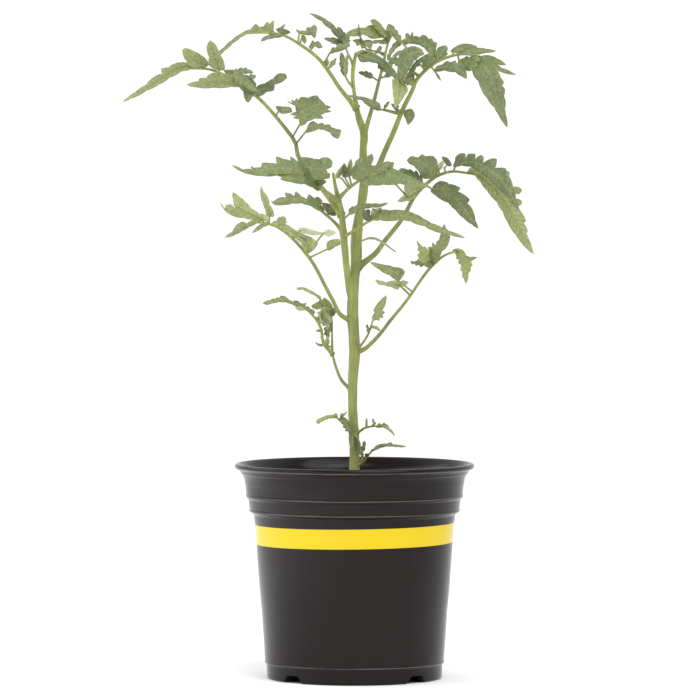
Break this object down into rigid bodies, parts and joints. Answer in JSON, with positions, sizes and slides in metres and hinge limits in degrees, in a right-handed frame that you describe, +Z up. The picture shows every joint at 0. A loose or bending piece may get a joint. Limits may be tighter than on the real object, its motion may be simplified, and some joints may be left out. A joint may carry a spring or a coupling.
{
  "type": "potted tomato plant",
  "caption": "Young tomato plant with a forked green stem and toothed compound leaves, standing in a round black nursery pot with a yellow band.",
  "frame": {"origin": "centre of the pot's flat base, on the surface that the pot stands on", "axes": "+Z up along the pot's axis, -Y towards the plant's front, +X to the plant's right as seen from its front"},
  "size_m": [0.2169, 0.127, 0.3522],
  "materials": {
    "pot_plastic": "satin black moulded plastic with a printed yellow band",
    "soil": "crumbly dark potting mix with white grains",
    "stem_green": "soft olive green skin with fine pale hairs",
    "leaf_green": "matt veined leaf, grey green above and lighter below"
  },
  "bodies": {
    "root": {"pot": "pot_plastic", "potting_mix": "soil", "stem": "stem_green", "arching_left_leaf": "leaf_green", "upper_left_leaf": "leaf_green", "middle_left_leaf": "leaf_green", "small_left_leaf": "leaf_green", "low_left_leaf": "leaf_green", "front_centre_leaf": "leaf_green", "middle_right_leaf": "leaf_green", "crossing_leaf": "leaf_green", "small_front_leaf": "leaf_green", "thin_side_leaf": "leaf_green", "low_right_leaf": "leaf_green", "upper_right_leaf": "leaf_green", "right_shoot": "leaf_green", "left_shoot": "leaf_green", "left_shoot_long": "leaf_green", "base_leaf_left": "leaf_green", "base_leaf_right": "leaf_green", "base_leaf_low": "leaf_green", "base_leaf_small": "leaf_green", "tip_leaf_left": "leaf_green", "tip_leaf_upright": "leaf_green", "tip_leaf_right": "leaf_green", "top_leaf": "leaf_green"}
  },
  "joints": []
}
